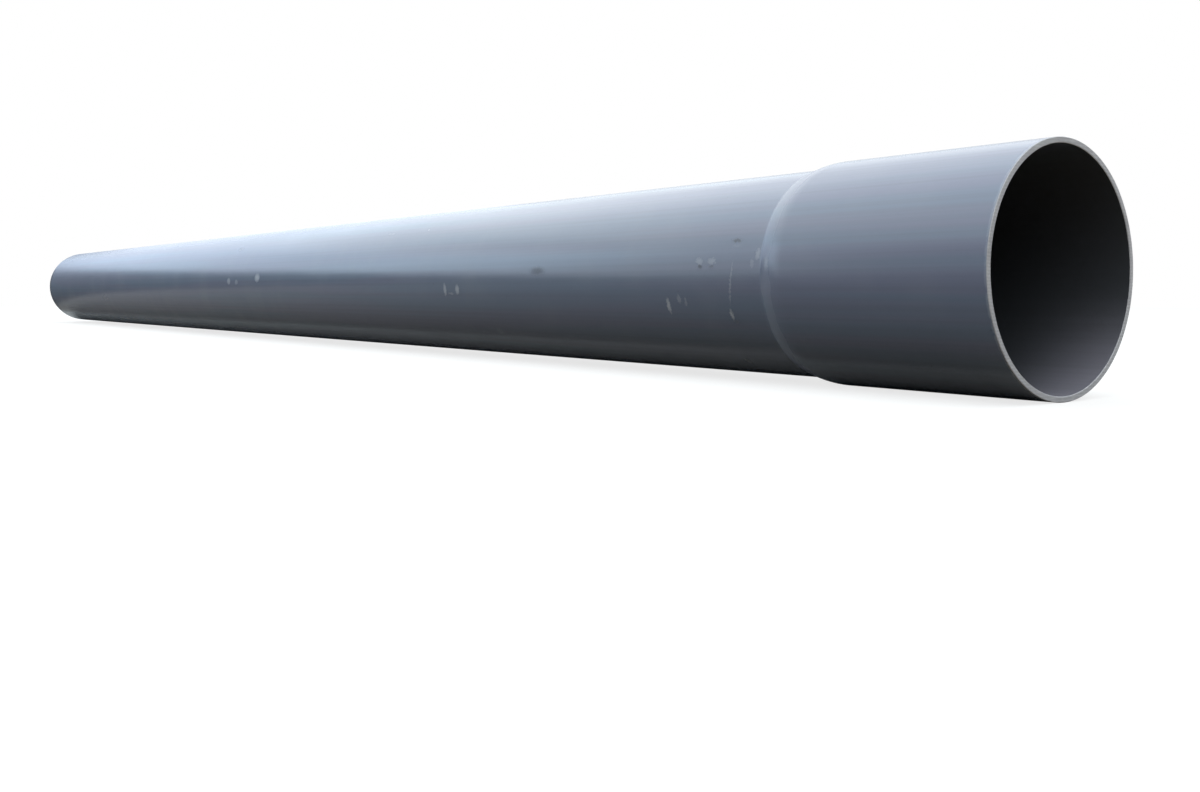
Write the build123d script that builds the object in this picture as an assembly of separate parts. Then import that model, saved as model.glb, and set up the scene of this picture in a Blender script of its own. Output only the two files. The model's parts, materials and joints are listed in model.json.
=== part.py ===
from build123d import *
from math import acos, degrees, radians, tan
import os

# A grey PVC drain pipe with a belled socket, sold in a fixed length.
# It lies along X: the socket opens towards +X and the spigot end points to -X.
# The origin is the centre of the socket's mouth, on the pipe's axis. Millimetres.

# Driving dimensions of the barrel
barrel_diameter = 125.0
barrel_wall = 3.2
overall_length = 2000.0

# Driving dimensions of the socket
spigot_clearance = 0.3
socket_wall = 3.1
socket_depth = 130.0

# The shoulder is a wide crown that runs straight into a tight foot
crown_radius = 55.0
foot_radius = 6.0

# Cut ends
mouth_edge_break = 0.3
spigot_bevel_angle = 15.0
spigot_land = 1.9

# Radii and places that follow
barrel_outer = barrel_diameter / 2
barrel_inner = barrel_outer - barrel_wall
socket_inner = barrel_outer + spigot_clearance
socket_outer = socket_inner + socket_wall
shoulder_start = -socket_depth
spigot_end = -overall_length
bevel_length = (barrel_wall - spigot_land) / tan(radians(spigot_bevel_angle))


def shoulder_turn(rise, crown, foot):
    """Angle in degrees that both arcs turn through so that together they drop by the rise."""
    return degrees(acos(1 - rise / (crown + foot)))


def wall_line(mouth, radius, drop, crown, foot, end):
    """One face of the wall from the mouth to an end: socket, crown arc, foot arc and barrel."""
    turn = shoulder_turn(drop, crown, foot)
    socket = Line((mouth, radius), (shoulder_start, radius))
    crown_arc = JernArc(socket @ 1, (-1, 0), crown, turn)
    foot_arc = JernArc(crown_arc @ 1, crown_arc % 1, foot, -turn)
    barrel = Line(foot_arc @ 1, (end, radius - drop))
    return socket @ 0, barrel @ 1


def half_section():
    """The wall's section above the axis, one closed outline."""
    with BuildSketch(Plane.XZ) as section:
        with BuildLine():
            outer_mouth, outer_spigot = wall_line(
                -mouth_edge_break, socket_outer, socket_outer - barrel_outer,
                crown_radius, foot_radius, spigot_end + bevel_length,
            )
            inner_mouth, inner_spigot = wall_line(
                -mouth_edge_break, socket_inner, socket_inner - barrel_inner,
                crown_radius - socket_wall, foot_radius + barrel_wall, spigot_end,
            )
            Polyline(
                outer_mouth,
                (0, socket_outer - mouth_edge_break),
                (0, socket_inner + mouth_edge_break),
                inner_mouth,
            )
            Polyline(outer_spigot, (spigot_end, barrel_inner + spigot_land), inner_spigot)
        make_face()
    return section.sketch


def pvc_pipe():
    """The whole pipe: its half section turned once round the axis."""
    return revolve(half_section(), Axis.X)


os.makedirs("parts", exist_ok=True)
export_step(pvc_pipe(), "parts/pvc_pipe.step")
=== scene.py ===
import json
from functools import reduce
from math import atan2, pi, radians, sin

import bpy
import numpy as np
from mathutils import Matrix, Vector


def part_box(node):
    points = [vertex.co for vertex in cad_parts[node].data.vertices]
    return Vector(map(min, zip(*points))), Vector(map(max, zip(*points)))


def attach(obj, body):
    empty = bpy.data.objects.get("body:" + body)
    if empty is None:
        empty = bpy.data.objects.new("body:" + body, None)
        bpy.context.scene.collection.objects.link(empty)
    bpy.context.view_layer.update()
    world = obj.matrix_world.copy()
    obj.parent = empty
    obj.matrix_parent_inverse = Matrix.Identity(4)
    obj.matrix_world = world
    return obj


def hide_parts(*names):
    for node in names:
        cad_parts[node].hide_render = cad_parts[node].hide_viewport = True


# A grey PVC drain pipe with a belled socket, lying on a pale studio floor.
# It lies along X, the socket's mouth centred on the origin. Metres, unless a comment says otherwise.

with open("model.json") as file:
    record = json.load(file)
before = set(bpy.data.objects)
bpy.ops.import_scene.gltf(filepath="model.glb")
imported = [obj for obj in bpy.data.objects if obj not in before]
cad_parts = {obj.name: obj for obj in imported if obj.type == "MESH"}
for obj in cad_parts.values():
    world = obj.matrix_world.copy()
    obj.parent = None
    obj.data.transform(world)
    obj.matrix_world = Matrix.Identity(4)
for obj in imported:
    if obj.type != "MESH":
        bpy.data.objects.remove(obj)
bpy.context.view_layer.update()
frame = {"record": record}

# Sizes of the pipe, from the frame's own mounts and box
MM = 0.001
mounts = {mount["name"]: mount for mount in frame["record"]["mounts"]}


def mount_radius(name):
    """Radius of a bore or pin in the frame's record."""
    return mounts[name]["dims"]["r_mm"] * MM


def mount_end(name):
    """Where along X a bore or pin stops, seen from the end of the pipe that it starts at."""
    mount = mounts[name]
    return mount["pos_m"][0] - mount["axis"][0] * mount["dims"]["length_mm"] * MM


low_corner, high_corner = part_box("pvc_pipe")
spigot_end = low_corner.x
socket_outer = high_corner.z
socket_inner = mount_radius("socket")
barrel_outer = mount_radius("barrel")
barrel_inner = mount_radius("barrel_bore")
outer_barrel_start = mount_end("barrel")
inner_barrel_start = mount_end("barrel_bore")
bevel_start = mounts["barrel"]["pos_m"][0]

# Sizes that the record doesn't hold, as the part's source has them
edge_break = 0.3 * MM
spigot_land = 1.9 * MM
crown_radius = 55.0 * MM

# Sizes that follow from both
inner_crown_radius = crown_radius - (socket_outer - socket_inner)
shoulder_start = mount_end("socket") - edge_break

# How finely the pipe's surface is divided, and the angle past which an edge is shaded sharp
SIDES = 288
BARREL_RINGS = 64
SOCKET_RINGS = 12
CROWN_RINGS = 14
FOOT_RINGS = 6
SHARP_ANGLE = radians(9)

# Finishes, in the order of the pipe's material slots
OUTSIDE, SAWN, BORE = range(3)

# Colours of the plastic and of what is on it, as linear red, green and blue
BLUE_GREY = (0.147, 0.188, 0.272, 1)
VIOLET_GREY = (0.162, 0.181, 0.266, 1)
DEEP_GREY = (0.120, 0.142, 0.198, 1)
DUST = (0.330, 0.340, 0.360, 1)
# Pale wear, which also serves as the painted highlight at the shoulder's foot
PALE_WEAR_AND_HIGHLIGHT = (0.520, 0.545, 0.600, 1)
GRIME = (0.045, 0.044, 0.044, 1)
SMUDGE = (0.050, 0.056, 0.074, 1)
SAWN_GREY = (0.560, 0.550, 0.590, 1)
SAWN_PALE = (0.660, 0.650, 0.680, 1)
# The bore is painted dark as painted shade, with painted light along its bottom near the mouth
BORE_PAINTED_SHADE = (0.065, 0.069, 0.079, 1)
BORE_PAINTED_LIGHT = (0.214, 0.204, 0.244, 1)

# Roughness of each finish where it is clean and even, and the plastic's index of refraction
SKIN_DULLNESS = 0.165
SAWN_DULLNESS = 0.42
BORE_DULLNESS = 0.36
PVC_IOR = 1.5

# Patterns drawn out along the pipe: length along it and width around it
HUE_BANDS = (450 * MM, 13 * MM)
DIE_LINES = (900 * MM, 2.6 * MM)
HAUL_OFF_RIPPLES = (220 * MM, 45 * MM)
BORE_LINES = (600 * MM, 3 * MM)
BORE_RIPPLES = (200 * MM, 40 * MM)
BORE_LIGHT_PATCHES = (120 * MM, 16 * MM)

# Sizes of the blotches in haze, wear, grime, the bend's painted highlight and the end's darkening
HAZE_SIZE = 55 * MM
BEND_HIGHLIGHT_BLOTCH = 30 * MM
RUB_BLOTCH = 4 * MM
END_DARKENING_BLOTCH = 20 * MM
SAWN_BLOTCH = 7 * MM
SAWN_GRIME_BLOTCH = 18 * MM

# Heights of the relief, which bump alone shows
RIPPLE_HEIGHT = 0.30 * MM
DIE_LINE_HEIGHT = 0.010 * MM
SCUFF_DEPTH = 0.06 * MM
SAW_MARK_HEIGHT = 0.03 * MM
SAWN_BLOTCH_HEIGHT = 0.05 * MM
BORE_RIPPLE_HEIGHT = 0.20 * MM
BORE_LINE_HEIGHT = 0.012 * MM

# A painted highlight at the shoulder's foot, a pale band for the bend's gloss: where it starts, is strongest
# and has ended
BEND_HIGHLIGHT_START = -outer_barrel_start - 15 * MM
BEND_HIGHLIGHT_PEAK = -outer_barrel_start - 6 * MM
BEND_HIGHLIGHT_END = -outer_barrel_start + 2 * MM

# The mouth's rubbed edge: where it has ended and where it is strongest
RUB_END = 2.2 * MM
RUB_PEAK = 0.2 * MM

# The barrel darkens before the spigot's bevel: where it starts and where it is strongest
END_DARKENING_START = -spigot_end - 22 * MM
END_DARKENING_PEAK = -spigot_end - 7 * MM

# Painted light along the bore's bottom: how far behind the mouth it reaches, and in front of it where it
# would be full
BORE_LIGHT_REACH = -68 * MM
BORE_LIGHT_FULL = 6 * MM

# Marks: mm from the mouth, degrees up from the near side, mm along, mm around, degrees of lean, strength
SCUFFS = [
    (232, -18, 3.0, 9.0, 0, 0.85),
    (221, -14, 3.6, 5.0, -6, 0.28),
    (215, -16, 2.6, 5.5, 0, 0.20),
    (511, -8, 4.0, 9.5, 2, 0.62),
    (491, -8, 5.5, 7.0, 0, 0.66),
    (502, -11, 9.0, 1.6, 0, 0.22),
    (934, 5, 13.0, 8.0, 0, 0.60),
    (1026, 2, 10.0, 7.0, 0, 0.40),
    (1000, 1, 9.0, 6.0, 0, 0.22),
    (174, -6, 1.3, 24.0, 10, 0.26),
    (177, -23, 2.6, 6.0, -6, 0.80),
    (201, 7, 6.0, 3.8, 10, 0.34),
    (190, 7, 7.0, 3.6, 0, 0.32),
    (152, 10, 3.4, 6.5, 12, 0.36),
    (156, 5, 3.0, 6.0, 0, 0.20),
    (143, 5, 3.4, 8.0, 0, 0.30),
    (170, 15, 8.0, 2.2, 0, 0.08),
    (188, -58, 3.5, 4.0, 0, 0.30),
    (450, -42, 9.0, 7.0, 0, 0.06),
]
SPOTS = [
    (375, 4, 17.0, 5.4, 0, 0.60),
    (171, 18, 8.0, 2.8, 0, 0.72),
    (200, 4, 4.5, 2.2, 0, 0.72),
    (190, 4, 5.0, 1.8, 0, 0.50),
    (175, -27, 5.0, 2.4, 0, 0.35),
    (1024, 40, 16.0, 6.0, 0, 0.16),
]

# Shares of a mark's half size, and of a speck's radius, between which it fades in
MARK_RIM, MARK_CORE = 1.45, 0.30
SPECK_RIM, SPECK_CORE = 1.4, 0.5

# How far the edges of marks and specks are shaken, and how many grains a metre the shaking noise has
MARK_RAGGEDNESS = 4.0 * MM
SPECK_RAGGEDNESS = 0.4 * MM
RAGGED_GRAINS = 700.0

# Specks of dirt: the cells they lie in, how wide they are, and the share of cells that hold one
SPECK_SPACING = 22.0 * MM
SPECK_SIZE = 1.0 * MM
SPECK_SHARE = 0.10

# The camera, in front of the mouth on the near side, looking a degree below level. Lens and sensor in mm
EYE = (0.3086, -0.5239, -0.0112)
CAMERA_HEADING = radians(52.8)
CAMERA_PITCH = radians(-1.078)
CAMERA_LENS = 34.02
CAMERA_SHIFT = -0.0684
SENSOR_WIDTH = 36.0

# Lamps overhead and beyond the spigot end. A radiance of 1 looks white in a mirror
COOL_WHITE = (0.91, 0.99, 1.01)
SKY_BLUE = (0.42, 0.67, 1.0)
LILAC_BLUE = (0.58, 0.72, 0.97)
PALE_BLUE = (0.75, 0.95, 1.07)
SHINING_ALONG_X = (0, -pi / 2, 0)
SHINING_ASLANT = (0, -pi / 2, radians(35))
SOFTBOXES = {
    "wide_softbox": {"centre": (0.1, -1.55, 2.3), "size": (9.3, 6.4), "radiance": 1.34, "tint": COOL_WHITE},
    "far_softbox": {"centre": (-5.65, -1.55, 2.3), "size": (2.2, 6.4), "radiance": 1.30, "tint": PALE_BLUE},
    "back_softbox": {"centre": (-1.0, 3.05, 2.3), "size": (11.5, 2.8), "radiance": 1.12, "tint": COOL_WHITE},
    "inner_softbox": {"centre": (-1.0, -0.6, 2.2), "size": (6.4, 3.2), "radiance": 0.60, "tint": COOL_WHITE},
    "end_softbox": {
        "centre": (-6.4, 1.85, 1.5), "size": (1.6, 3.3), "radiance": 0.84, "tint": LILAC_BLUE,
        "turn": SHINING_ALONG_X,
    },
    "near_end_softbox": {
        "centre": (-6.4, -2.15, 1.5), "size": (1.6, 4.7), "radiance": 1.08, "tint": SKY_BLUE,
        "turn": SHINING_ALONG_X,
    },
    "corner_softbox": {
        "centre": (-5.4, -3.45, 1.1), "size": (2.3, 3.0), "radiance": 1.10, "tint": PALE_BLUE,
        "turn": SHINING_ASLANT,
    },
}

# Strength of the white surround for all but the camera and gloss
SKY_FILL = 0.04

# The floor, and its colour for the camera, for gloss and for the little warm light that it throws up
FLOOR_SIZE = 7.0
FLOOR_FOR_CAMERA = 0.27
FLOOR_FOR_MIRROR = 0.60
FLOOR_FOR_LIGHT = (0.108, 0.079, 0.046, 1)

# A glow for the camera alone, which lifts the floor to white and leaves the shadow
FLOOR_GLOW = 0.77

# A grey card just over the floor on the pipe's near side, which only gloss shows
FRONT_CARD_SHADE = (0.219, 0.202, 0.190, 1)
CARD_GAP = 0.042
CARD_LIFT = 0.004
CARD_DEPTH = 3.2
CARD_REACH = 3.0

# A dark card that slopes up beyond the spigot end, which only gloss shows
END_CARD_SHADE = (0.030, 0.030, 0.032, 1)
SLOPE_START = 0.12
SLOPE_RISE = 0.72
SLOPE_NEAR = 1.7
SLOPE_FAR = 0.5


def straight(start, end, steps):
    """Points on a straight run at equal shares of the way, both ends included."""
    share = np.linspace(0, 1, steps + 1)[:, None]
    return np.asarray(start) + share * (np.asarray(end) - np.asarray(start))


def shoulder(start, end, crown):
    """Points on a crown arc and a foot arc that meet on one tangent.

    Both turn through twice the angle whose tangent is drop over run. A point of the crown lies
    crown * sin(t) along and crown * (1 - cos(t)) down from the start, and a point of the foot
    lies the same way back from the end, with the foot's radius.
    """
    run, drop = start[0] - end[0], start[1] - end[1]
    turn = 2 * atan2(drop, run)
    foot = run / sin(turn) - crown
    t = np.linspace(0, turn, CROWN_RINGS + 1)[:-1]
    on_crown = np.stack([start[0] - crown * np.sin(t), start[1] - crown * (1 - np.cos(t))], 1)
    t = np.linspace(turn, 0, FOOT_RINGS + 1)
    on_foot = np.stack([end[0] + foot * np.sin(t), end[1] + foot * (1 - np.cos(t))], 1)
    return np.concatenate([on_crown, on_foot])


def wall_profile():
    """The wall's closed outline and the finish of each of its steps.

    Rows are (place along X, radius), out along the outside from the mouth and back along the bore.
    """
    outer_mouth, outer_lip = (0.0, socket_outer - edge_break), (-edge_break, socket_outer)
    inner_mouth, inner_lip = (0.0, socket_inner + edge_break), (-edge_break, socket_inner)
    outer_crown, inner_crown = (shoulder_start, socket_outer), (shoulder_start, socket_inner)
    outer_foot, inner_foot = (outer_barrel_start, barrel_outer), (inner_barrel_start, barrel_inner)
    bevel_top = (bevel_start, barrel_outer)
    bevel_tip = (spigot_end, barrel_inner + spigot_land)
    spigot_lip = (spigot_end, barrel_inner)
    runs = [
        (SAWN, straight(outer_mouth, outer_lip, 1)),
        (OUTSIDE, straight(outer_lip, outer_crown, SOCKET_RINGS)),
        (OUTSIDE, shoulder(outer_crown, outer_foot, crown_radius)),
        (OUTSIDE, straight(outer_foot, bevel_top, BARREL_RINGS)),
        (SAWN, straight(bevel_top, bevel_tip, 2)),
        (SAWN, straight(bevel_tip, spigot_lip, 2)),
        (BORE, straight(spigot_lip, inner_foot, BARREL_RINGS)),
        (BORE, shoulder(inner_crown, inner_foot, inner_crown_radius)[::-1]),
        (BORE, straight(inner_crown, inner_lip, SOCKET_RINGS)),
        (SAWN, straight(inner_lip, inner_mouth, 1)),
        (SAWN, straight(inner_mouth, outer_mouth, 3)),
    ]
    finish = np.concatenate([np.full(len(points) - 1, kind) for kind, points in runs])
    return np.concatenate([points[:-1] for _, points in runs]), finish


def turned(name, profile, finish, sides):
    """A mesh turned round the X axis from a closed profile, with its faces outwards.

    Vertex (ring, side) is (x, -radius * cos(angle), radius * sin(angle)), where the angle goes from
    minus half a turn to half a turn and is 0 on the near side. The UV map rolled_out holds, in metres,
    the place from the mouth and the arc up from the near side at the barrel's radius.
    """
    rings = len(profile)
    angle = (np.arange(sides + 1) / sides - 0.5) * 2 * pi
    x, radius = profile[:, :1], profile[:, 1:]
    round_the_axis = angle[:-1]
    points = np.stack([
        np.repeat(x, sides, 1), -radius * np.cos(round_the_axis), radius * np.sin(round_the_axis),
    ], 2)
    ring, side = np.meshgrid(np.arange(rings), np.arange(sides), indexing="ij")
    ring_step, side_step = np.array([0, 0, 1, 1]), np.array([0, 1, 1, 0])
    corner_ring = (ring[..., None] + ring_step) % rings
    corner_side = side[..., None] + side_step
    corners = corner_ring * sides + corner_side % sides
    rolled_out = np.stack([-x[corner_ring, 0], angle[corner_side] * barrel_outer], -1)

    mesh = bpy.data.meshes.new(name)
    mesh.from_pydata(points.reshape(-1, 3).tolist(), [], corners.reshape(-1, 4).tolist())
    mesh.polygons.foreach_set("material_index", np.repeat(finish, sides).astype(np.int32))
    mesh.uv_layers.new(name="rolled_out").data.foreach_set("uv", rolled_out.ravel())
    mesh.shade_smooth()
    mesh.set_sharp_from_angle(angle=SHARP_ANGLE)
    return mesh


def new_material(name):
    """A material with a Principled shader: its node tree and that shader."""
    material = bpy.data.materials.new(name)
    material.use_nodes = True
    return material, material.node_tree, material.node_tree.nodes["Principled BSDF"]


def node(tree, kind, inputs=(), **settings):
    """One shader node, with its settings made and its inputs set or linked."""
    made = tree.nodes.new("ShaderNode" + kind)
    for name, value in settings.items():
        setattr(made, name, value)
    for key, value in dict(inputs).items():
        if isinstance(value, bpy.types.NodeSocket):
            tree.links.new(value, made.inputs[key])
        else:
            made.inputs[key].default_value = value
    return made


def calc(tree, operation, *values):
    """One sum on sockets or numbers."""
    return node(tree, "Math", enumerate(values), operation=operation).outputs[0]


def times(tree, first, second):
    """The product of two values."""
    return calc(tree, "MULTIPLY", first, second)


def weighted(tree, base, *parts):
    """A base value plus the product of each (value, weight)."""
    return reduce(lambda so_far, part: calc(tree, "MULTIPLY_ADD", *part, so_far), parts, base)


def strongest(tree, *values):
    """The highest of the values."""
    return reduce(lambda first, second: calc(tree, "MAXIMUM", first, second), values)


def fade(tree, value, start, end):
    """0 at the start and 1 at the end, smooth between. The end may be the lower of the two."""
    limits = {"Value": value, "From Min": start, "From Max": end}
    return node(tree, "MapRange", limits, interpolation_type="SMOOTHSTEP").outputs[0]


def layered(tree, ground, *layers):
    """A ground colour with each layer's (colour, share) laid over it in turn."""
    for colour, share in layers:
        ground = node(tree, "Mix", {0: share, 6: ground, 7: colour}, data_type="RGBA").outputs[2]
    return ground


def object_place(tree):
    """Place on the pipe in its own frame."""
    return node(tree, "TexCoord").outputs["Object"]


def along_and_up(tree):
    """Place along X and height above the axis."""
    place = node(tree, "SeparateXYZ", {0: object_place(tree)}).outputs
    return place[0], place[2]


def streaks(tree, along, around, detail=2.0):
    """Noise near 0.5, in streaks about as long along the pipe and as wide around it as the two lengths."""
    scale = (1 / along, 1 / around, 1 / around)
    drawn_out = node(tree, "Mapping", {0: object_place(tree), "Scale": scale}).outputs[0]
    return node(tree, "TexNoise", {"Vector": drawn_out, "Scale": 1.0, "Detail": detail}).outputs[0]


def blotches(tree, size, detail=3.0):
    """Noise near 0.5, in blotches of about one size."""
    return streaks(tree, size, size, detail)


def rolled_out_place(tree):
    """Place on the rolled-out surface."""
    return node(tree, "UVMap", uv_map="rolled_out").outputs[0]


def shaken_place(tree, ragged):
    """Place on the rolled-out surface, shaken by noise so that what is drawn there has a ragged edge."""
    place = rolled_out_place(tree)
    noise = node(tree, "TexNoise", {"Vector": place, "Scale": RAGGED_GRAINS, "Detail": 3.0}).outputs["Color"]
    shake = node(tree, "VectorMath", {0: noise, 1: (-0.5, -0.5, -0.5)}, operation="ADD").outputs[0]
    shaken = node(tree, "VectorMath", {0: shake, 1: (ragged,) * 3, 2: place}, operation="MULTIPLY_ADD")
    return shaken.outputs[0]


def mark(tree, place, from_mouth, up, along, around, lean, strength):
    """One oval mark: its strength in the middle, fading to 0 at its edge."""
    on_mark = node(tree, "Mapping", {
        "Vector": place,
        "Location": (from_mouth * MM, radians(up) * barrel_outer, 0),
        "Rotation": (0, 0, radians(lean)),
        "Scale": (along * MM / 2, around * MM / 2, 1),
    }, vector_type="TEXTURE").outputs[0]
    distance = node(tree, "VectorMath", {0: on_mark}, operation="LENGTH").outputs["Value"]
    return times(tree, fade(tree, distance, MARK_RIM, MARK_CORE), strength)


def marks(tree, rows):
    """The marks of all the rows together, the strongest where they meet."""
    place = shaken_place(tree, MARK_RAGGEDNESS)
    return strongest(tree, *(mark(tree, place, *row) for row in rows))


def specks(tree):
    """Dots of dirt scattered at random, one in each of a share of the cells."""
    place = shaken_place(tree, SPECK_RAGGEDNESS)
    cells = node(tree, "TexVoronoi", {"Vector": place, "Scale": 1 / SPECK_SPACING}, voronoi_dimensions="2D")
    chance = node(tree, "SeparateColor", {0: cells.outputs["Color"]})
    radius = SPECK_SIZE / SPECK_SPACING / 2
    dot = fade(tree, cells.outputs["Distance"], radius * SPECK_RIM, radius * SPECK_CORE)
    chosen = calc(tree, "LESS_THAN", chance.outputs[0], SPECK_SHARE)
    return times(tree, dot, times(tree, chosen, chance.outputs[1]))


def finish_surface(tree, shader, colour, dullness, height):
    """Give the shader its colour, its roughness and a bump from a height in metres."""
    bump = node(tree, "Bump", {"Height": height, "Distance": 1.0, "Strength": 1.0})
    tree.links.new(colour, shader.inputs["Base Color"])
    tree.links.new(dullness, shader.inputs["Roughness"])
    tree.links.new(bump.outputs[0], shader.inputs["Normal"])
    shader.inputs["IOR"].default_value = PVC_IOR


def extruded_pvc():
    """Grey PVC as it leaves the die, handled: faint bands of hue, die lines, scuffs and specks."""
    material, tree, shader = new_material("extruded_grey_pvc")
    bands = streaks(tree, *HUE_BANDS)
    lines = streaks(tree, *DIE_LINES, 3.0)
    ripples = streaks(tree, *HAUL_OFF_RIPPLES)
    haze = blotches(tree, HAZE_SIZE, 4.0)
    scuffs, spots = marks(tree, SCUFFS), marks(tree, SPOTS)

    # A pale band where the shoulder meets the barrel is a painted highlight of that bend, stronger
    # underneath
    from_mouth = node(tree, "SeparateXYZ", {0: rolled_out_place(tree)}).outputs[0]
    bend_highlight = times(
        tree, fade(tree, from_mouth, BEND_HIGHLIGHT_START, BEND_HIGHLIGHT_PEAK), fade(tree, from_mouth, BEND_HIGHLIGHT_END, BEND_HIGHLIGHT_PEAK),
    )
    bend_highlight = times(tree, bend_highlight, fade(tree, blotches(tree, BEND_HIGHLIGHT_BLOTCH), 0.10, 0.65))
    _, height_up = along_and_up(tree)
    underside = fade(tree, height_up, 0.3 * barrel_outer, -0.8 * barrel_outer)
    bend_highlight_share = weighted(tree, 0.06, (underside, 0.12))

    # The mouth's edge is rubbed pale, and the last of the barrel before the spigot's bevel is darker
    rub = times(
        tree, fade(tree, from_mouth, RUB_END, RUB_PEAK), fade(tree, blotches(tree, RUB_BLOTCH), 0.1, 0.9),
    )
    end_darkening = times(
        tree, fade(tree, from_mouth, END_DARKENING_START, END_DARKENING_PEAK),
        fade(tree, blotches(tree, END_DARKENING_BLOTCH), 0.2, 0.6),
    )

    colour = layered(
        tree, BLUE_GREY,
        (VIOLET_GREY, fade(tree, bands, 0.40, 0.60)),
        (DEEP_GREY, times(tree, fade(tree, lines, 0.35, 0.75), 0.30)),
        (DUST, times(tree, fade(tree, haze, 0.45, 0.80), 0.10)),
        (PALE_WEAR_AND_HIGHLIGHT, times(tree, bend_highlight, bend_highlight_share)),
        (PALE_WEAR_AND_HIGHLIGHT, times(tree, rub, 0.40)),
        (GRIME, times(tree, end_darkening, 0.45)),
        (SMUDGE, strongest(tree, spots, times(tree, specks(tree), 0.5))),
        (PALE_WEAR_AND_HIGHLIGHT, scuffs),
    )
    dullness = weighted(
        tree, SKIN_DULLNESS,
        (haze, 0.10), (bands, 0.06), (scuffs, 0.35), (spots, 0.25), (bend_highlight, 0.10), (rub, 0.20),
    )

    height = weighted(
        tree, 0.0, (ripples, RIPPLE_HEIGHT), (lines, DIE_LINE_HEIGHT), (scuffs, -SCUFF_DEPTH),
    )
    finish_surface(tree, shader, colour, dullness, height)
    return material


def sawn_pvc():
    """The pale, dull face that a saw leaves, with its fine straight marks."""
    material, tree, shader = new_material("sawn_grey_pvc")
    blotch = blotches(tree, SAWN_BLOTCH)
    saw_marks = node(tree, "TexWave", {
        "Vector": object_place(tree), "Scale": 190.0, "Distortion": 1.6, "Detail": 3.0, "Detail Scale": 2.0,
    }, bands_direction="Z").outputs["Fac"]
    colour = layered(
        tree, SAWN_GREY,
        (SAWN_PALE, fade(tree, blotch, 0.35, 0.75)),
        (DUST, times(tree, saw_marks, 0.25)),
        (GRIME, times(tree, fade(tree, blotches(tree, SAWN_GRIME_BLOTCH), 0.55, 0.75), 0.20)),
    )
    dullness = weighted(tree, SAWN_DULLNESS, (blotch, 0.25))
    height = weighted(tree, 0.0, (saw_marks, SAW_MARK_HEIGHT), (blotch, SAWN_BLOTCH_HEIGHT))
    finish_surface(tree, shader, colour, dullness, height)
    return material


def bore_pvc():
    """The dull inside, painted dark as painted shade, with painted light along its bottom near the mouth."""
    material, tree, shader = new_material("bore_grey_pvc")
    lines = streaks(tree, *BORE_LINES, 3.0)
    ripples = streaks(tree, *BORE_RIPPLES)
    patchy = fade(tree, streaks(tree, *BORE_LIGHT_PATCHES, 4.0), 0.20, 0.60)

    # Painted light lies along the bottom, strongest at the mouth
    along, height_up = along_and_up(tree)
    bottom = fade(tree, height_up, -0.08 * socket_inner, -0.95 * socket_inner)
    near_mouth = fade(tree, along, BORE_LIGHT_REACH, BORE_LIGHT_FULL)
    bore_light = times(tree, times(tree, bottom, near_mouth), weighted(tree, 0.85, (patchy, 0.15)))

    colour = layered(
        tree, BORE_PAINTED_SHADE,
        (BORE_PAINTED_LIGHT, bore_light),
        (GRIME, times(tree, fade(tree, lines, 0.40, 0.80), 0.12)),
    )
    dullness = weighted(tree, BORE_DULLNESS, (bore_light, 0.20))
    height = weighted(tree, 0.0, (ripples, BORE_RIPPLE_HEIGHT), (lines, BORE_LINE_HEIGHT))
    finish_surface(tree, shader, colour, dullness, height)
    return material


def kinds_of_ray(tree):
    """1 or 0 for rays straight from the camera, and 1 or 0 for rays by way of a gloss or a glass."""
    path = node(tree, "LightPath").outputs
    return path["Is Camera Ray"], strongest(tree, path["Is Glossy Ray"], path["Is Transmission Ray"])


def white_floor():
    """A floor that looks white to the camera, keeps the shadow and throws little light up."""
    material, tree, shader = new_material("white_floor")
    tree.nodes.remove(shader)
    camera, mirrored = kinds_of_ray(tree)
    shade = strongest(tree, times(tree, camera, FLOOR_FOR_CAMERA), times(tree, mirrored, FLOOR_FOR_MIRROR))
    colour = layered(tree, FLOOR_FOR_LIGHT, (shade, strongest(tree, camera, mirrored)))
    paint = node(tree, "BsdfDiffuse", {"Color": colour})
    glow = node(tree, "Emission", {"Strength": times(tree, camera, FLOOR_GLOW)})
    both = node(tree, "AddShader", {0: paint.outputs[0], 1: glow.outputs[0]})
    tree.links.new(both.outputs[0], tree.nodes["Material Output"].inputs["Surface"])
    material.cycles.emission_sampling = "NONE"
    return material


def make_plane(name, corners, material):
    """One four-cornered sheet of the studio."""
    mesh = bpy.data.meshes.new(name)
    mesh.from_pydata(corners, [], [(0, 1, 2, 3)])
    mesh.materials.append(material)
    plane = bpy.data.objects.new(name, mesh)
    bpy.context.scene.collection.objects.link(plane)
    return plane


def make_floor():
    """A square floor under the middle of the pipe's length, which the socket rests on."""
    half, middle, z = FLOOR_SIZE / 2, spigot_end / 2, -socket_outer
    left, right = middle - half, middle + half
    corners = [(left, -half, z), (right, -half, z), (right, half, z), (left, half, z)]
    make_plane("floor", corners, white_floor())


def make_world():
    """A white surround for the camera and for gloss, and a faint fill for everything else."""
    world = bpy.data.worlds.new("white_studio")
    bpy.context.scene.world = world
    world.use_nodes = True
    tree = world.node_tree
    tree.nodes.clear()
    fill = node(tree, "Background", {"Color": (1, 1, 1, 1), "Strength": SKY_FILL})
    white = node(tree, "Background", {"Color": (1, 1, 1, 1), "Strength": 1.0})
    seen = strongest(tree, *kinds_of_ray(tree))
    either = node(tree, "MixShader", {0: seen, 1: fill.outputs[0], 2: white.outputs[0]})
    node(tree, "OutputWorld", {"Surface": either.outputs[0]})
    world.cycles.sampling_method = "NONE"


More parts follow.
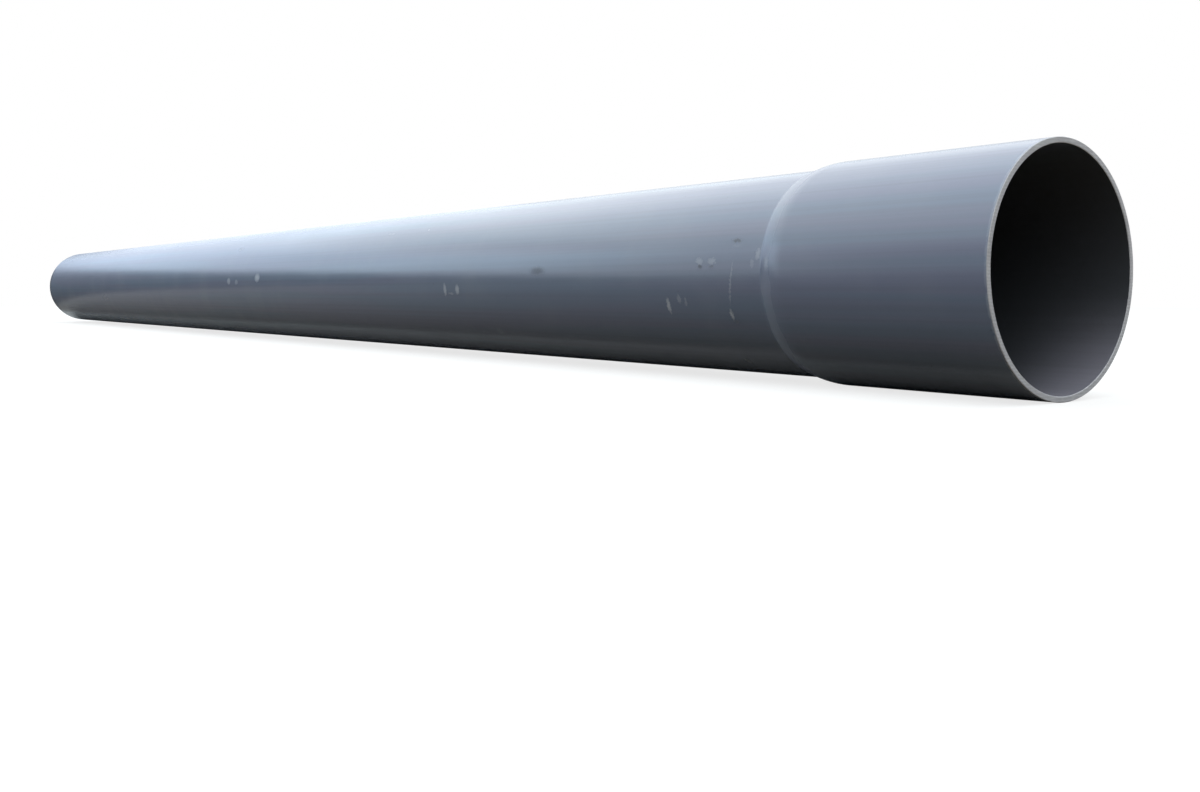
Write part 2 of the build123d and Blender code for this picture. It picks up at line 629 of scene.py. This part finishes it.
def make_softbox(name, centre, size, radiance, tint, turn=(0, 0, 0)):
    """An area light of even radiance. Its power is radiance * pi * area."""
    light = bpy.data.lights.new(name, "AREA")
    light.shape = "RECTANGLE"
    light.size, light.size_y = size
    light.energy = radiance * pi * size[0] * size[1]
    light.color = tint
    softbox = bpy.data.objects.new(name, light)
    softbox.location = centre
    softbox.rotation_euler = turn
    softbox.visible_camera = False
    bpy.context.scene.collection.objects.link(softbox)


def make_card(name, shade, corners):
    """A dull card that only the pipe's gloss shows."""
    material, _, shader = new_material(name)
    shader.inputs["Base Color"].default_value = shade
    shader.inputs["Roughness"].default_value = 1.0
    card = make_plane(name, corners, material)
    card.visible_camera = card.visible_diffuse = card.visible_shadow = False


def make_cards():
    """One card on the floor in front of the pipe, and one that slopes up beyond its spigot end."""
    z = -socket_outer + CARD_LIFT
    left, right = spigot_end - CARD_REACH, CARD_REACH / 2
    near, far = -CARD_GAP, -CARD_GAP - CARD_DEPTH
    make_card("front_card", FRONT_CARD_SHADE, [
        (left, far, z), (right, far, z), (right, near, z), (left, near, z),
    ])
    start, top = spigot_end - SLOPE_START, z + SLOPE_RISE
    make_card("end_card", END_CARD_SHADE, [
        (left, -SLOPE_NEAR, top), (start, -SLOPE_NEAR, z), (start, SLOPE_FAR, z), (left, SLOPE_FAR, top),
    ])


def make_camera():
    """The camera at the photograph's viewing angle."""
    data = bpy.data.cameras.new("camera")
    data.sensor_width = SENSOR_WIDTH
    data.lens = CAMERA_LENS
    data.shift_y = CAMERA_SHIFT
    data.clip_start = 0.01
    camera = bpy.data.objects.new("camera", data)
    camera.location = EYE
    camera.rotation_euler = (pi / 2 + CAMERA_PITCH, 0, CAMERA_HEADING)
    bpy.context.scene.collection.objects.link(camera)
    bpy.context.scene.camera = camera


def make_pipe():
    """The dressed pipe, which stands for the CAD node."""
    mesh = turned("pvc_pipe_dressed", *wall_profile(), SIDES)
    for material in (extruded_pvc(), sawn_pvc(), bore_pvc()):
        mesh.materials.append(material)
    pipe = bpy.data.objects.new("pvc_pipe_dressed", mesh)
    bpy.context.scene.collection.objects.link(pipe)
    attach(pipe, "root")
    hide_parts("pvc_pipe")


make_pipe()
make_floor()
make_world()
for softbox_name, settings in SOFTBOXES.items():
    make_softbox(softbox_name, **settings)
make_cards()
make_camera()
bpy.context.scene.view_settings.view_transform = "Standard"
